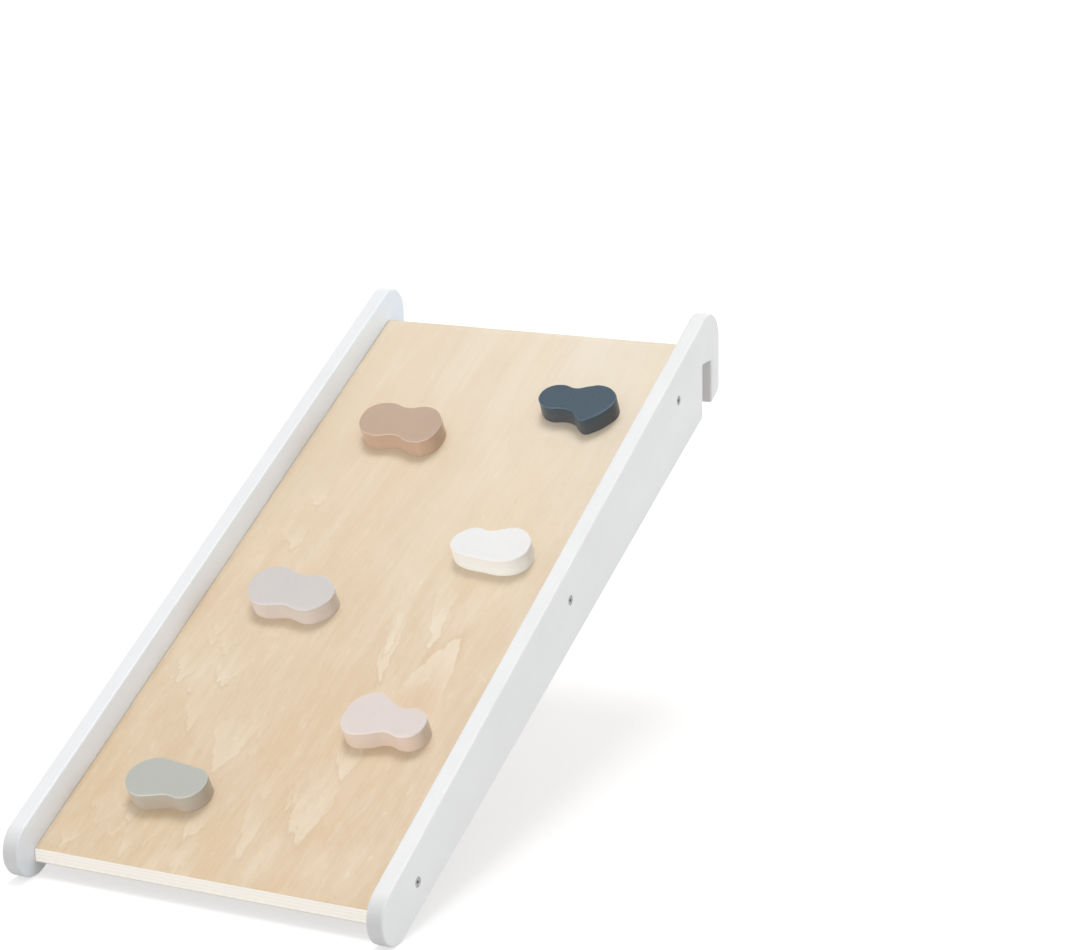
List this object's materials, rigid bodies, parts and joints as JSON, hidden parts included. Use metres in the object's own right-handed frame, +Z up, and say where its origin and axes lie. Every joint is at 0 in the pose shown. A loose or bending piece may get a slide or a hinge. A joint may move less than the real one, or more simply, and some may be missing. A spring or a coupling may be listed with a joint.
{
  "type": "climbing ramp",
  "caption": "Sloping wooden deck with painted hand and foot holds between two side boards that hook over the edge of an upright panel.",
  "frame": {"origin": "on the floor, at the centre of the ramp's bounding box seen from above", "axes": "+X across the ramp to its right as seen from the feet, +Y from the feet to the hooks, +Z up; the ramp stands at its angle of use"},
  "size_m": [0.5, 0.9717, 0.5284],
  "materials": {
    "white_lacquer": "satin white lacquer",
    "birch_veneer": "matt clear-lacquered veneer",
    "beech_dowel": "bare beech",
    "zinc_screw": "zinc plated",
    "rose_paint": "satin painted wood",
    "navy_paint": "satin painted wood",
    "white_paint": "satin painted wood",
    "lilac_paint": "satin painted wood",
    "pink_paint": "satin painted wood",
    "sage_paint": "satin painted wood"
  },
  "bodies": {
    "root": {"side_board_left": "white_lacquer", "side_board_right": "white_lacquer", "deck_panel": "birch_veneer", "hold_rose": "rose_paint", "hold_navy": "navy_paint", "hold_white": "white_paint", "hold_lilac": "lilac_paint", "hold_pink": "pink_paint", "hold_sage": "sage_paint", "side_screw_left_1": "zinc_screw", "side_screw_left_2": "zinc_screw", "side_screw_left_3": "zinc_screw", "dowel_left_1": "beech_dowel", "dowel_left_2": "beech_dowel", "dowel_left_3": "beech_dowel", "dowel_left_4": "beech_dowel", "side_screw_right_1": "zinc_screw", "side_screw_right_2": "zinc_screw", "side_screw_right_3": "zinc_screw", "dowel_right_1": "beech_dowel", "dowel_right_2": "beech_dowel", "dowel_right_3": "beech_dowel", "dowel_right_4": "beech_dowel", "hold_screw_rose_1": "zinc_screw", "hold_screw_rose_2": "zinc_screw", "hold_screw_navy_1": "zinc_screw", "hold_screw_navy_2": "zinc_screw", "hold_screw_white_1": "zinc_screw", "hold_screw_white_2": "zinc_screw", "hold_screw_lilac_1": "zinc_screw", "hold_screw_lilac_2": "zinc_screw", "hold_screw_pink_1": "zinc_screw", "hold_screw_pink_2": "zinc_screw", "hold_screw_sage_1": "zinc_screw", "hold_screw_sage_2": "zinc_screw"}
  },
  "joints": []
}
